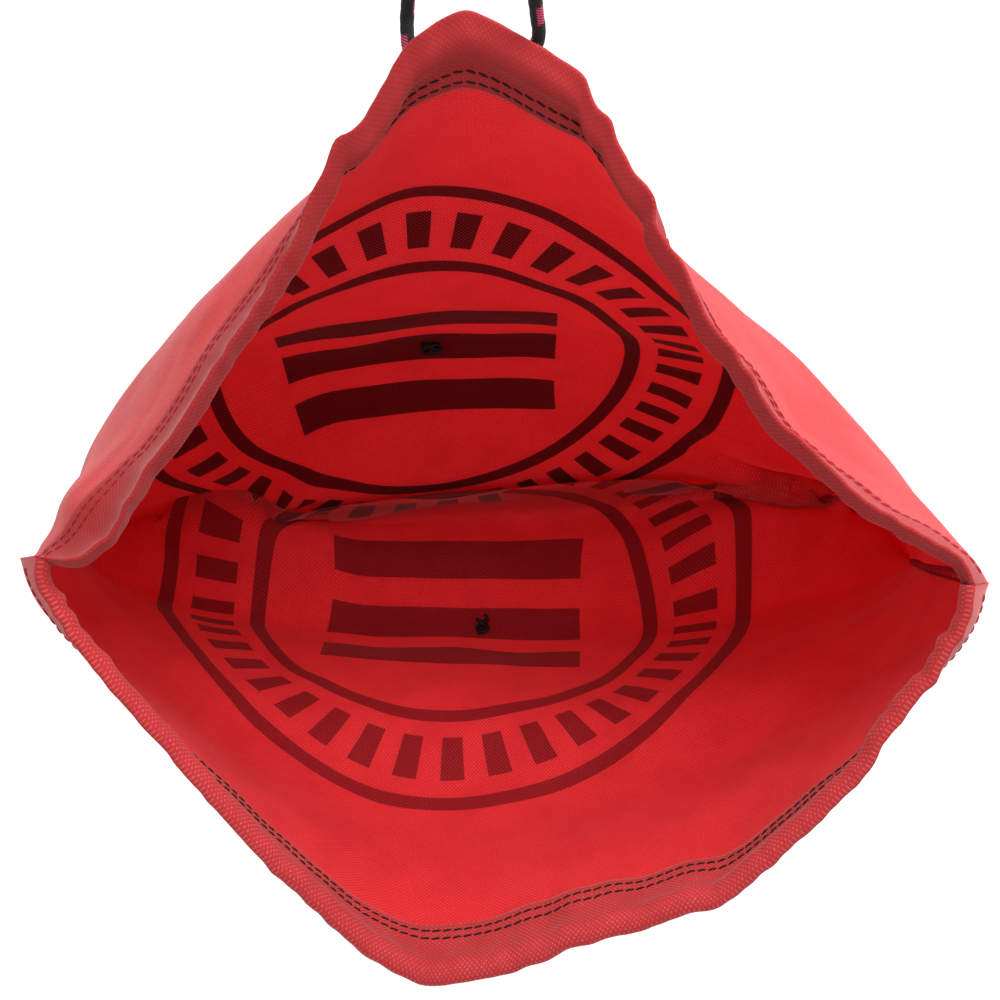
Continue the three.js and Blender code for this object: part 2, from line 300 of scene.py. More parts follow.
def print_mask(n, u, v, front):
    """1 on the ink of the round print: two rings, a ring of bars and a striped block."""
    shift = PRINT_MIDDLE["front"] - PRINT_MIDDLE["back"]
    x = n.math("SUBTRACT", u, n.math("MULTIPLY_ADD", front, shift, PRINT_MIDDLE["back"]))
    x = n.math("MULTIPLY", x, n.math("MULTIPLY_ADD", front, 1 / PRINT_FRONT_WIDTH - 1, 1.0))
    y = n.math("SUBTRACT", v, PRINT_MIDDLE["down"])
    radius = n.math("SQRT", n.math("ADD", n.math("MULTIPLY", x, x), n.math("MULTIPLY", y, y)))
    edge = 0.25 * MM
    masks = []
    for middle, half in PRINT_RINGS:
        off = n.math("ABSOLUTE", n.math("SUBTRACT", radius, middle))
        masks.append(n.ramp(off, half + edge, half - edge))
    low, high, count = PRINT_BARS
    turn = n.math("MULTIPLY", n.math("ARCTAN2", y, x), count)
    bars = n.ramp(n.math("SINE", turn), -0.03, 0.03)
    band = n.math("MULTIPLY", n.ramp(radius, low - edge, low + edge),
                  n.ramp(radius, high + edge, high - edge))
    masks.append(n.math("MULTIPLY", bars, band))
    wide, tall, stripes = PRINT_BLOCK
    block = n.math("MULTIPLY", n.ramp(n.math("ABSOLUTE", x), wide + edge, wide - edge),
                   n.ramp(n.math("ABSOLUTE", y), tall + edge, tall - edge))
    wave = n.math("COSINE", n.math("MULTIPLY", y, math.pi * (2 * stripes - 1) / (2 * tall)))
    masks.append(n.math("MULTIPLY", block, n.ramp(wave, -0.33, -0.27)))
    ink = masks[0]
    for mask in masks[1:]:
        ink = n.math("MAXIMUM", ink, mask)
    return ink


def cloth_material(name, base, light, ink_colours, sheen, through, glow):
    """Thermal-bonded cloth: a lattice of embossed dots over fine fibres, with its print."""
    n = Nodes(name)
    u, w = n.flat()
    front = n.math("GREATER_THAN", w, 0.5)
    v = n.math("SUBTRACT", w, front)
    place = n.place(u, w)
    a = n.math("MULTIPLY", n.math("ADD", u, v), 2 * math.pi / (DOT_PITCH * math.sqrt(2)))
    b = n.math("MULTIPLY", n.math("SUBTRACT", u, v), 2 * math.pi / (DOT_PITCH * math.sqrt(2)))
    lattice = n.math("ADD", n.math("COSINE", a), n.math("COSINE", b))
    dots = n.ramp(lattice, 0.1, 1.3)
    fibres = n.noise(place, 900.0, 3.0, 0.7)
    clouds = n.noise(place, 38.0, 4.0, 0.6)
    pale = n.math("MULTIPLY", dots, n.ramp(fibres, 0.2, 0.75))
    colour = n.mix(n.math("MULTIPLY", pale, 0.8), base, light)
    # A darker tone of the base, used for the cloth's random mottling and for the painted shade on the back
    # hem.
    mottle_and_shade_colour = tuple(c * 0.72 for c in base[:3]) + (1,)
    colour = n.mix(n.math("MULTIPLY", n.ramp(clouds, 0.35, 0.75), 0.4), colour, mottle_and_shade_colour)
    ink = print_mask(n, u, v, front)
    ink_colour = n.mix(front, *ink_colours)
    worn = n.math("MULTIPLY", ink, n.math("SUBTRACT", 1.0, n.math("MULTIPLY", dots, 0.22)))
    ink_strength_painted_light = n.math("MULTIPLY_ADD", front, -0.25, 0.95)  # the print is painted weaker on the front half: painted light, as the back half's print stands dark against the light behind it
    colour = n.mix(n.math("MULTIPLY", worn, ink_strength_painted_light), colour, ink_colour)
    relief = n.bump(n.math("SUBTRACT", n.math("MULTIPLY", fibres, 0.5), dots), 0.16 * MM, 0.8)
    relief = n.bump(clouds, 1.2 * MM, 0.35, relief)
    hem = n.ramp(v, HEM_DEPTH + 0.5 * MM, HEM_DEPTH - 0.5 * MM)
    # The hem of the back half is painted darker: painted shade, as that hem lies in shadow.
    back_hem_painted_shade = n.math("MULTIPLY", hem, n.math("SUBTRACT", 1.0, front))
    colour = n.mix(n.math("MULTIPLY", back_hem_painted_shade, 0.8), colour, mottle_and_shade_colour)
    n.shade(Base_Color=colour, Roughness=0.62, Normal=relief)
    n.shader.inputs["Specular IOR Level"].default_value = 0.06
    n.shader.inputs["Sheen Weight"].default_value = sheen
    n.shader.inputs["Sheen Roughness"].default_value = 0.4
    n.shader.inputs["Sheen Tint"].default_value = (1.0, 0.75, 0.75, 1)
    blocked = n.math("MAXIMUM", n.math("MULTIPLY", ink, 0.92), n.math("MULTIPLY", hem, 0.75))
    inked_glow = n.mix(blocked, glow, (0.02, 0.0, 0.0, 1))
    lit = n.add("ShaderNodeBsdfTranslucent", {"Color": inked_glow, "Normal": relief})
    both = n.add("ShaderNodeMixShader", {0: through, 1: n.shader.outputs[0], 2: lit})
    n.tree.links.new(both, n.output.inputs["Surface"])
    return n.material


def thread_material(name, colour):
    n = Nodes(name)
    round_, along = n.flat()
    twist = n.math("ADD", n.math("MULTIPLY", round_, 2 * math.pi * 2),
                   n.math("MULTIPLY", along, 2 * math.pi / (0.7 * MM)))
    strand = n.math("MULTIPLY", n.math("ADD", n.math("SINE", twist), 1.0), 0.5)
    # The crests of the twist are painted paler: a painted highlight.
    twist_highlight_colour = tuple(min(1, c * 2 + 0.01) for c in colour[:3]) + (1,)
    n.shade(Base_Color=n.mix(n.math("MULTIPLY", strand, 0.5), colour, twist_highlight_colour), Roughness=0.55,
            Normal=n.bump(strand, 0.1 * MM, 0.6))
    n.shader.inputs["Specular IOR Level"].default_value = 0.2
    return n.material


BRAID_STRANDS = 8
BRAID_PITCH = 9 * MM
FLECK_PITCH = 15 * MM


def cord_material(name):
    """Black braid with a pink tracer that comes up in flecks on alternate sides."""
    n = Nodes(name)
    round_, along = n.flat()
    go = n.math("MULTIPLY", along, BRAID_STRANDS / BRAID_PITCH)
    turn = n.math("MULTIPLY", round_, float(BRAID_STRANDS))
    right = n.math("FRACT", n.math("ADD", turn, go))
    left = n.math("FRACT", n.math("SUBTRACT", turn, go))
    ridge = n.math("MULTIPLY", n.math("SINE", n.math("MULTIPLY", right, math.pi)),
                   n.math("SINE", n.math("MULTIPLY", left, math.pi)))
    fine = n.noise(n.place(n.math("MULTIPLY", round_, 0.016), along), 2200.0, 2.0, 0.6)
    step = n.math("DIVIDE", along, FLECK_PITCH)
    here = n.math("FRACT", step)
    other = n.math("FRACT", n.math("ADD", round_, n.math("MULTIPLY", n.math("FLOOR", step), 0.5)))
    tracer = n.math("MULTIPLY", n.ramp(n.math("ABSOLUTE", n.math("SUBTRACT", here, 0.5)), 0.3, 0.22),
                    n.ramp(n.math("ABSOLUTE", n.math("SUBTRACT", other, 0.5)), 0.19, 0.14))
    carrier = n.ramp(n.math("ABSOLUTE", n.math("SUBTRACT", right, 0.5)), 0.34, 0.26)
    tracer = n.math("MULTIPLY", tracer, carrier)
    black = n.mix(fine, (0.003, 0.003, 0.004, 1), (0.02, 0.018, 0.02, 1))
    pink = n.mix(fine, (0.45, 0.02, 0.08, 1), (0.85, 0.12, 0.25, 1))
    height = n.math("ADD", ridge, n.math("MULTIPLY", fine, 0.3))
    n.shade(Base_Color=n.mix(tracer, black, pink), Roughness=0.7, Normal=n.bump(height, 0.35 * MM, 0.8))
    n.shader.inputs["Specular IOR Level"].default_value = 0.25
    return n.material


def floor_material():
    n = Nodes("pale floor")
    n.shade(Base_Color=(0.93, 0.93, 0.93, 1), Roughness=0.9)
    return n.material


BLACK_INK = (0.012, 0.008, 0.01, 1)
# Both faces are one cloth: the outside is painted paler, a painted highlight of the strong light on it, and
# the inside brighter and deeper red, a painted glow of the light that comes through.
outer_cloth_painted_pale = cloth_material("cloth outside", (0.62, 0.042, 0.046, 1), (0.95, 0.19, 0.2, 1),
                             (BLACK_INK, BLACK_INK), 0.35, 0.3, (1.0, 0.04, 0.05, 1))
# The print inside is painted darker on the back half than on the front: painted light, as the back half's
# print stands dark against the light behind it.
inner_cloth_painted_glow = cloth_material("cloth inside", (0.78, 0.034, 0.044, 1), (1.0, 0.19, 0.2, 1),
                             ((0.1, 0.001, 0.003, 1), (0.22, 0.003, 0.007, 1)), 0.15, 0.34,
                             (1.0, 0.03, 0.045, 1))
black_thread = thread_material("black thread", (0.004, 0.003, 0.003, 1))
red_thread = thread_material("red thread", (0.3, 0.012, 0.02, 1))
braid = cord_material("braided cord")

# ------------------------------------------------------------------ shape of the sack

# The folded edge of the hem as seen along the sack's axis, from the left seam to the right one.
# These points weren't chosen by hand: they follow places read along the photo's rim, which a scratch
# program turned into millimetres. The report says more.
RIM_OUTLINE = {
    BACK: [(-173, -21), (-164, -22), (-155, -20), (-148, -15), (-140, -5), (-130, 13), (-122, 22),
           (-100, 54), (-78, 86), (-70, 103), (-62, 118), (-58, 127), (-53, 130), (-47, 135),
           (-43, 142), (-36, 154), (-30, 161), (-22, 166), (-13, 170), (-5, 168), (7, 162),
           (18, 156), (29, 149), (31, 144), (34, 138), (39, 134), (42, 126), (48, 116), (54, 109),
           (57, 96), (65, 86), (70, 76), (76, 65), (85, 54), (93, 43), (102, 29), (111, 22),
           (125, 9), (141, -4), (160, -14), (172, -22), (178, -32)],
    FRONT: [(-173, -21), (-173, -30), (-170, -39), (-163, -52), (-152, -68), (-125, -103),
            (-98, -137), (-82, -155), (-68, -169), (-57, -180), (-48, -187), (-38, -193),
            (-27, -196), (-11, -194), (2, -191), (10, -188), (19, -185), (27, -180), (36, -178),
            (44, -175), (54, -173), (64, -169), (74, -165), (85, -163), (91, -159), (99, -152),
            (110, -141), (125, -126), (132, -118), (143, -105), (149, -93), (157, -81),
            (165, -69), (172, -57), (177, -46), (178, -32)],
}
RIM_KNEE = -20 * MM  # height of the mouth's side corners
RIM_SLOPES = (0.221, 0.273)  # how far the rim comes forward for each metre over and under them


def rim_points(side, s):
    outline = np.array(RIM_OUTLINE[side], float) * MM
    fine = along_curve(np.column_stack([outline, np.zeros(len(outline))]), 1 * MM)
    far = np.concatenate([[0], np.cumsum(np.linalg.norm(np.diff(fine, axis=0), axis=1))])
    where = (np.asarray(s) + 1) / 2 * far[-1]
    x, y = np.interp(where, far, fine[:, 0]), np.interp(where, far, fine[:, 1])
    over = y - RIM_KNEE
    return np.column_stack([x, y, np.where(over > 0, RIM_SLOPES[0], RIM_SLOPES[1]) * over])


def plain_section(side, s, t, half_width):
    """The sack without its rim's own outline, wrinkles and hem; s is an array, t a number."""
    belly = smooth(t, 0, BELLY_START)
    corner = CORNER_RADIUS / (FLAT_WIDTH / 2)
    reach = math.hypot(1, corner) - corner
    rim_rise = 1 - (np.hypot(s, corner) - corner) / reach
    x = half_width * (s * (1 - belly) + np.sin(math.pi / 2 * s) * belly)
    rise = rim_rise * (1 - belly) + np.cos(math.pi / 2 * s) * belly
    rim = np.column_stack([x, -MOUTH_DROP - MOUTH_LEAN * s, 0 * s])
    fold = np.column_stack([x, FOLD_HEIGHT - FOLD_DROOP * s**2, -FOLD_DEPTH - FOLD_SAG * s**2])
    apex = MOUTH_TOP if side == BACK else MOUTH_BOTTOM
    return rim * (1 - t) + fold * t + apex * ((1 - t) * rise)[:, None]


def half_width_at(t):
    s = np.linspace(-1, 1, 61)
    low, high = FLAT_WIDTH / 5, FLAT_WIDTH / 2
    for _ in range(24):
        middle = (low + high) / 2
        girth = sum(path_length(plain_section(side, s, t, middle)) for side in (BACK, FRONT))
        low, high = (low, middle) if girth > 2 * FLAT_WIDTH else (middle, high)
    return low


# Profile of each half down its middle, in the sack's frame: distance from the folded edge, y, z.
# The front half bends up over a ridge before it reaches the bottom fold.
PROFILE = {
    BACK: [(0, 170, 42), (14, 159, 33), (28, 148, 24), (60, 139, -6), (110, 126, -55),
           (156, 103, -95), (205, 89, -142), (250, 77, -185), (300, 45, -222), (350, 9, -260),
           (385, 3, -292), (420, -8, -320)],
    FRONT: [(0, -196, -48), (14, -185, -57), (28, -175, -66), (60, -160, -96), (110, -139, -140),
            (156, -103, -168), (205, -85, -213), (250, -68, -254), (292, -26, -272), (305, -16, -280),
            (316, -9, -285), (326, -5, -278), (336, 0, -265), (346, 4, -253), (354, 5, -252),
            (364, 4, -262), (385, 0, -284), (420, -8, -320)],
}
# Places where a wall stands fuller: s, distance from the folded edge, reach in each, and height
FULLNESS = {BACK: [(-0.45, 62 * MM, 0.2, 36 * MM, 8 * MM), (-0.87, 40 * MM, 0.09, 42 * MM, 13 * MM)]}
BEND_POWER = {BACK: 0.6, FRONT: 0.5}  # how squarely the bend down the middle reaches the sides
GATHER_HEIGHT = 0.9 * MM  # of the gathers that stand on the folded edge
GATHER_DEPTH = 16 * MM  # how far down those gathers are felt
CREASE_TILT = 22 * MM  # how far the crease over the ridge climbs from the left to the right
GATHER_REACH = 105 * MM  # how far down the rim's own outline is felt
DETAIL_REACH = 45 * MM


def lip_share(side, s):
    if side == BACK:
        return smooth(s, -0.5, -0.12) * smooth(s, 0.62, 0.2)
    return smooth(np.abs(s), 1.0, 0.8)


def ripple(side, s, v):
    """Wrinkles square to the cloth: pleats running down from the hem, and soft dents."""
    seed = 10.0 if side == BACK else 30.0
    out = np.zeros((len(v), len(s)))
    for i, depth in enumerate(v):
        pleat = math.exp(-depth / 0.075)
        for k, place in enumerate(s):
            x = place * FLAT_WIDTH / 2
            out[i, k] = (
                pleat * 2.6 * MM * noise.noise((x * 38, depth * 6, seed))
                + 5.0 * MM * noise.noise((x * 9, depth * 8, seed + 5))
                + 1.8 * MM * noise.noise((x * 26 + depth * 9, depth * 22, seed + 9))
                - 1.1 * MM * abs(noise.noise((x * 17 - depth * 25, depth * 17, seed + 14)))
            )
    return out


def evenly(row):
    """The same line with its places an equal length of cloth apart."""
    far = np.concatenate([[0], np.cumsum(np.linalg.norm(np.diff(row, axis=0), axis=1))])
    stops = np.linspace(0, far[-1], len(row))
    return np.column_stack([np.interp(stops, far, row[:, k]) for k in range(3)])


def outer_surface(side, s, v):
    """Grid of places on the outer layer, rows down from the folded edge."""
    rim = rim_points(side, s)
    off = rim - plain_section(side, s, 0, half_width_at(0))
    window = np.hanning(25) / np.hanning(25).sum()
    padded = np.pad(off, ((12, 12), (0, 0)), mode="edge")
    soft = np.column_stack([np.convolve(padded[:, k], window, mode="valid") for k in range(3)])
    profile = along_curve(np.array(PROFILE[side], float) * MM, 2 * MM)
    across_share = np.cos(math.pi / 2 * s).clip(0) ** BEND_POWER[side]
    middle = np.array([0.0])
    lean_share = lip_share(side, s)
    rows = []
    for depth in v:
        t = depth / FLAT_DEPTH
        row = plain_section(side, s, t, half_width_at(t))
        row += soft * math.exp(-((depth / GATHER_REACH) ** 2))
        row += (off - soft) * math.exp(-((depth / DETAIL_REACH) ** 2))
        y, z = (np.interp(depth, profile[:, 0], profile[:, k]) for k in (1, 2))
        plain = plain_section(side, middle, t, half_width_at(t))[0]
        bend = np.array([0, y - plain[1], z - plain[2]])
        share = across_share * (lean_share + (1 - lean_share) * smooth(depth, 30 * MM, 110 * MM))
        row += bend * share[:, None]
        crease = smooth(depth, 270 * MM, 350 * MM) * smooth(depth, 420 * MM, 380 * MM)
        row[:, 1] += CREASE_TILT * crease * np.sin(math.pi * s) * 0.5
        rows.append(evenly(row))
    grid = np.array(rows)
    square = normals(side, grid)
    for s0, v0, wide, deep, height in FULLNESS.get(side, []):
        hill = np.exp(-(((v - v0) / deep) ** 2))[:, None] * np.exp(-(((s - s0) / wide) ** 2))[None, :]
        hill = hill * smooth(v, 2 * MM, 30 * MM)[:, None] * smooth(np.abs(s), 1.0, 0.95)[None, :]
        grid = grid - square * (height * hill)[..., None]
    gathers = np.array([noise.noise((x * 16, 0, 91.0 + side)) + 0.8 * noise.noise((x * 41, 0, 95.0 + side))
                        for x in s]) * GATHER_HEIGHT * (1 + smooth(np.abs(s), 0.8, 0.93))
    gathers = gathers * smooth(np.abs(s), 1.0, 0.96)
    grid = grid - square * (np.exp(-((v / GATHER_DEPTH) ** 2))[:, None] * gathers[None, :])[..., None]
    calm = smooth(v, 0, 22 * MM)[:, None] * smooth(v, FLAT_DEPTH, FLAT_DEPTH - 130 * MM)[:, None]
    calm = calm * smooth(np.abs(s), 1.0, 0.9)[None, :]
    return grid + square * (ripple(side, s, v) * calm)[..., None]


def normals(side, grid):
    """Unit normals into the sack; near a seam they turn to the opposite seam."""
    along = np.gradient(grid, axis=1)
    down = np.gradient(grid, axis=0)
    square = unit(np.cross(along, down)) * -side
    s = np.linspace(-1, 1, grid.shape[1])
    middle = np.zeros_like(square)
    middle[..., 0] = -np.sign(s)
    share = smooth(np.abs(s), 0.9, 1)[None, :, None] * 0.8
    return unit(square * (1 - share) + middle * share)


def calmed(field, reach):
    """Unit vectors evened out along each row, so that the layers of the hem don't cross."""
    window = np.hanning(2 * reach + 3)[1:-1]
    padded = np.pad(field, ((0, 0), (reach, reach), (0, 0)), mode="edge")
    return unit(sum(w * padded[:, k:k + field.shape[1]] for k, w in enumerate(window)))


COLUMNS = round(FLAT_WIDTH / COLUMN_STEP)
S = np.linspace(-1, 1, COLUMNS + 1)
HEM_ROWS = np.array([0, 0.5, 1.2, 2.2, 3.6, 5.2, 7, 9, 11, 13, 15, 17, 19, 20.5, 22, 24.5, 26, 28]) * MM
BODY_ROWS = np.linspace(HEM_DEPTH, FLAT_DEPTH, round((FLAT_DEPTH - HEM_DEPTH) / ROW_STEP) + 1)[1:]
V = np.concatenate([HEM_ROWS, BODY_ROWS])
SURFACE = {side: outer_surface(side, S, V) for side in (BACK, FRONT)}
CORNER_GAP = 16 * MM  # between the halves where they lie together over the bottom corners
SEAM_GAP = 1.5 * MM  # between them by the side seams and the bottom fold
CORNERS_FROM, CORNERS_FULL = 240 * MM, 315 * MM  # depths at which they start to lie together, and do


def lay_corners_together():
    """Over the bottom corners both halves follow one surface, a little apart."""
    middle = (SURFACE[BACK] + SURFACE[FRONT]) / 2
    backwards = -calmed(normals(BACK, middle), 8)
    near = smooth(np.abs(S), 0.3, 0.6)[None, :] * smooth(V, CORNERS_FROM, CORNERS_FULL)[:, None]
    gap = SEAM_GAP + CORNER_GAP * (smooth(np.abs(S), 1.0, 0.6)[None, :]
                                   * smooth(V, FLAT_DEPTH, FLAT_DEPTH - 90 * MM)[:, None])
    gap = gap * smooth(np.abs(S), 1.0, 0.985)[None, :] * smooth(V, FLAT_DEPTH, FLAT_DEPTH - 8 * MM)[:, None]
    for side in (BACK, FRONT):
        laid = middle + backwards * (side * gap / 2)[..., None]
        SURFACE[side] += (laid - SURFACE[side]) * near[..., None]


KEPT_APART = 5 * MM
CHECKED_FROM = 290 * MM  # depth past which the front half is lifted off the back half
COMPARED_FROM = 250 * MM  # depth past which the back half is looked at for that
LIFT_GAIN = 1.4  # makes up for the height that evening out the lift takes away


def keep_apart():
    """Lift the front half off the back half wherever its fold would cross it."""
    deep = V > COMPARED_FROM
    back = SURFACE[BACK][deep].reshape(-1, 3)
    inward = calmed(normals(BACK, SURFACE[BACK]), 6)[deep].reshape(-1, 3)
    tree = kdtree.KDTree(len(back))
    for k, place in enumerate(back):
        tree.insert(place, k)
    tree.balance()
    lift = np.zeros_like(SURFACE[FRONT])
    for r in np.flatnonzero(V > CHECKED_FROM):
        for c, s in enumerate(S):
            need = KEPT_APART * smooth(abs(s), 1.0, 0.93) * smooth(V[r], FLAT_DEPTH, FLAT_DEPTH - 30 * MM)
            place = SURFACE[FRONT][r, c]
            _, k, _ = tree.find(place)
            off = (place - back[k]) @ inward[k]
            if off < need:
                lift[r, c] = inward[k] * (need - off)
    window = np.hanning(9)[1:-1] / np.hanning(9).sum()
    for axis in (0, 1):
        lift = np.apply_along_axis(lambda line: np.convolve(line, window, mode="same"), axis, lift)
    free = smooth(np.abs(S), 1.0, 0.97)[None, :] * smooth(V, FLAT_DEPTH, FLAT_DEPTH - 12 * MM)[:, None]
    SURFACE[FRONT] += lift * LIFT_GAIN * free[..., None]


lay_corners_together()
keep_apart()
INWARDS = {side: calmed(normals(side, SURFACE[side]), 6) for side in (BACK, FRONT)}

# Section of the hem from its cut edge inside to the folded edge: distance from the fold, height.
# The cord lies away from a sharp fold in the back half and fills the fold of the front half.
HEM_SECTION = {
    BACK: np.array([
        [28, 1.0], [26.5, 1.3], [25, 1.1], [24.5, 1.0], [22.5, 1.35], [20.5, 1.0], [19, 1.5],
        [17.5, 2.5], [15.5, 3.9], [13.8, 5.1], [12, 5.8], [10, 6.0], [8, 5.8], [6.5, 5.2],
        [5, 4.1], [3.4, 3.0], [2, 2.2], [0.9, 1.6], [0.2, 1.1], [0, 0.6]]) * MM,
    FRONT: np.array([
        [28, 1.0], [26.5, 1.3], [25, 1.1], [24.5, 1.0], [22.5, 1.35], [20.5, 1.0], [18.5, 1.3],
        [16, 1.8], [13.8, 2.4], [12, 3.1], [10.4, 4.0], [9, 4.9], [7.6, 5.7], [6, 6.1],
        [4.4, 6.0], [3, 5.5], [1.7, 4.6], [0.6, 3.3], [0.1, 2.1], [0, 1.2]]) * MM,
}


def on_cloth(side, s, v, height):
    """A place (s, v) of the cloth, raised into the sack by a height; all may be arrays."""
    column = (np.asarray(s, float) + 1) / 2 * COLUMNS
    c = np.clip(column.astype(int), 0, COLUMNS - 1)
    fc = (column - c)[..., None]
    row = np.interp(v, V, np.arange(len(V)))
    r = np.clip(np.asarray(row).astype(int), 0, len(V) - 2)
    fr = (row - r)[..., None]

    def sample(grid):
        upper = grid[r, c] * (1 - fc) + grid[r, c + 1] * fc
        lower = grid[r + 1, c] * (1 - fc) + grid[r + 1, c + 1] * fc
        return upper * (1 - fr) + lower * fr

    return sample(SURFACE[side]) + sample(INWARDS[side]) * np.asarray(height)[..., None]


def hem_pucker(side, s):
    """How much fuller the hem is at s: it bunches on its cord between stiffer stretches."""
    seed = 50.0 if side == BACK else 70.0
    fuller = np.array([noise.noise((x * 12, 0, seed)) * 0.8 * MM + noise.noise((x * 34, 0, seed + 3))
                       * 0.9 * MM for x in s])
    return np.maximum(fuller, 0) * (1 + smooth(np.abs(s), 0.75, 0.95))


def half_rows(side):
    """Rows of the sheet from the hem's cut edge, over the fold and down to the bottom fold,
    each with its distance along the cloth from the folded edge; in the hem it is negative."""
    rows, marks = [], []
    pucker = hem_pucker(side, S)
    for from_fold, height in HEM_SECTION[side]:
        bulge = height + pucker * smooth(height, 1.2 * MM, 5 * MM)
        rows.append(on_cloth(side, S, np.full(len(S), from_fold), bulge))
        marks.append(-from_fold)
    for i, v in enumerate(V[1:], 1):
        rows.append(SURFACE[side][i])
        marks.append(v)
    return rows, marks


def in_exit(places, exits):
    return any(np.linalg.norm(places.mean(axis=0) - e) < EXIT_RADIUS for e in exits)


def exit_place(x_row):
    """s and place of the hole in the back hem that stands at x_row across the row's frame."""
    line = to_row(on_cloth(BACK, S, np.full(len(S), CORD_FROM_FOLD[BACK]), 0 * S))
    k = int(np.argmin(np.abs(line[:, 0] - x_row) + 10 * (np.abs(S) > 0.5)))
    return float(S[k]), on_cloth(BACK, S[k], CORD_FROM_FOLD[BACK], 0.0)


EXITS = [exit_place(x) for x in EXIT_ACROSS]


def build_cloth():
    back_rows, back_marks = half_rows(BACK)
    front_rows, front_marks = half_rows(FRONT)
    join = (back_rows[-1] + front_rows[-1]) / 2  # one length of cloth, folded at the bottom
    rows = back_rows[:-1] + [join] + front_rows[::-1][1:]
    marks = back_marks[:-1] + [FLAT_DEPTH] + [1 + m for m in front_marks[::-1][1:]]
    grid = np.array(rows)
    places = [e[1] for e in EXITS]
    faces, uvs = [], []
    wide = COLUMNS + 1
    last_back = len(back_rows) - 1
    for r in range(len(rows) - 1):
        low, high = marks[r], marks[r + 1]
        if r == last_back:
            low = 1 + FLAT_DEPTH
        holed = 0 < high < HEM_DEPTH and r < last_back
        for c in range(COLUMNS):
            if holed and in_exit(np.array([grid[r, c], grid[r + 1, c + 1]]), places):
                continue
            a = r * wide + c
            faces.append((a, a + wide, a + wide + 1, a + 1))
            u0, u1 = S[c] * FLAT_WIDTH / 2, S[c + 1] * FLAT_WIDTH / 2
            uvs += [(u0, low), (u0, high), (u1, high), (u1, low)]
    cloth = mesh_object("cloth", to_row(grid.reshape(-1, 3)), faces, inner_cloth_painted_glow, uvs)
    cloth.data.materials.append(outer_cloth_painted_pale)
    solid = cloth.modifiers.new("thickness", "SOLIDIFY")
    solid.thickness = CLOTH_THICKNESS
    solid.offset = 0
    solid.material_offset = 1
    solid.use_quality_normals = True
    bpy.context.view_layer.update()
    made = cloth.evaluated_get(bpy.context.evaluated_depsgraph_get())
    solid_mesh = bpy.data.meshes.new_from_object(made)
    cloth.modifiers.clear()
    cloth.data = solid_mesh
    return cloth


# Two places across the mouth, just past the back rim and past the front rim; nothing below uses them.
BEND_START = tuple(to_row([0, 180 * MM, 0]))
BEND_END = tuple(to_row([0, -245 * MM, 0]))


def bend_with_cloth(piece):
    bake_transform(piece)
    return piece


cloth = bend_with_cloth(build_cloth())
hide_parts("back_panel", "front_panel")

# ------------------------------------------------------------------ stitches

STITCH_PITCH = 4.3 * MM
STITCH_RADIUS = 0.4 * MM
ROW_END = 0.985


def row_of_stitches(side, from_fold, inside):
    """Paths of the stitches that show on one face of a hem row, each from hole to hole."""
    count = round(FLAT_WIDTH * ROW_END / STITCH_PITCH)
    surface = LAYER_PITCH if inside else 0.0
    lift = CLOTH_THICKNESS / 2 + STITCH_RADIUS * 0.7
    paths = []
    for i in range(count):
        s0 = -ROW_END + 2 * ROW_END * (i + 0.02) / count
        s1 = -ROW_END + 2 * ROW_END * (i + 0.98) / count
        s = np.linspace(s0, s1, 6)
        arch = np.array([-0.9, 0.75, 1.0, 1.0, 0.75, -0.9]) * lift
        height = surface + arch if inside else surface - arch
        slant = np.linspace(-0.28, 0.28, 6) * MM
        paths.append(to_row(on_cloth(side, s, from_fold + slant, height)))
    return paths


for side, half in ((BACK, "back"), (FRONT, "front")):
    for inside, thread, finish in ((True, "bobbin", black_thread), (False, "needle", red_thread)):
        paths = [path for from_fold in STITCH_ROWS.values()
                 for path in row_of_stitches(side, from_fold, inside)]
        stitches = tubes_object(f"{half}_hem_{thread}_stitches", paths, STITCH_RADIUS, 6, finish)
        bend_with_cloth(stitches)
        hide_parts(*(f"{half}_hem_{row}_row_{thread}_thread" for row in STITCH_ROWS))

SEAM_PITCH = 3.2 * MM


def seam_paths(edge):
    """Overlock thread over the cut edges of a side seam, inside the sack."""
    top, bottom = HEM_DEPTH + 5 * MM, FLAT_DEPTH * 0.985
    steps = round((bottom - top) / SEAM_PITCH)
    lines = []
    for side in (BACK, FRONT):
        v = np.linspace(top, bottom, steps * 2 + 1)
        inset = edge * (1 - 0.006 - 0.011 * (np.arange(len(v)) % 2))
        lines.append(to_row(on_cloth(side, inset, v, np.full(len(v), 0.8 * MM))))
    for i in range(steps):
        v = top + (i + 0.5) * SEAM_PITCH
        ends = [on_cloth(side, edge * 0.984, v, 0.9 * MM) for side in (BACK, FRONT)]
        over = on_cloth(BACK, edge * 1.0, v, 0.0) * 0.5 + on_cloth(FRONT, edge * 1.0, v, 0.0) * 0.5
        over = over - np.array([edge * 1.6 * MM, 0, 0])
        lines.append(to_row(along_curve([ends[0], over, ends[1]], 0.6 * MM)))
    return lines


for edge, name in ((-1, "left"), (1, "right")):
    seam = tubes_object(f"{name}_side_overlock", seam_paths(edge), 0.3 * MM, 5, red_thread)
    bend_with_cloth(seam)
    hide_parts(f"{name}_side_seam_thread")


